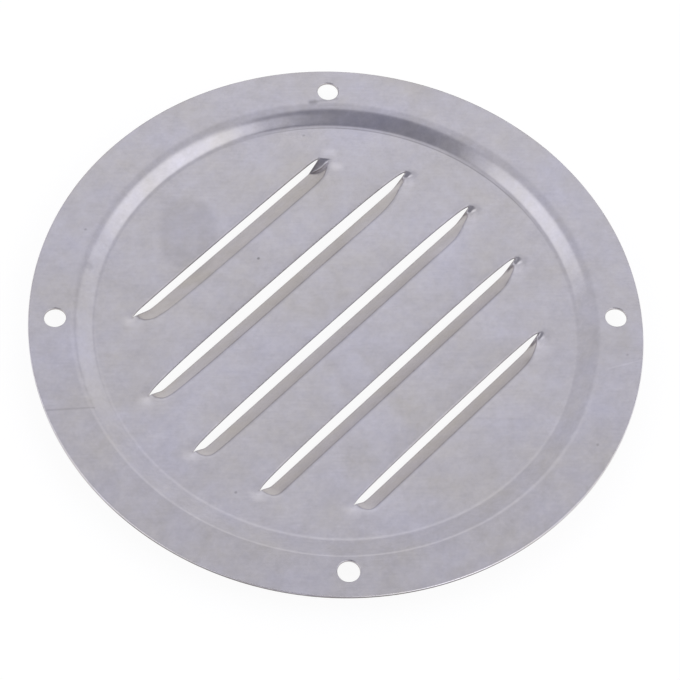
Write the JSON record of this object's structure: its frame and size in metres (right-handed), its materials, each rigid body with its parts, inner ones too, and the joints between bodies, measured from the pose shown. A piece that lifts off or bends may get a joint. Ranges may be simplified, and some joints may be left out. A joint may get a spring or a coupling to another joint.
{
  "type": "round vent cover",
  "caption": "Round louvred vent cover pressed from thin stainless sheet, with a flat screw flange, a shallow recessed panel and pressed louvre hoods.",
  "frame": {"origin": "centre of the screw circle, on the flange's mounting face", "axes": "+Z out of the mounting face towards the wall, +X along the louvres, +Y the way the louvres open"},
  "size_m": [0.127, 0.127, 0.007],
  "materials": {
    "stainless_sheet": "cold-rolled mill finish, satin, with faint rolling grain and handling marks"
  },
  "bodies": {
    "root": {"vent_cover": "stainless_sheet"}
  },
  "joints": []
}
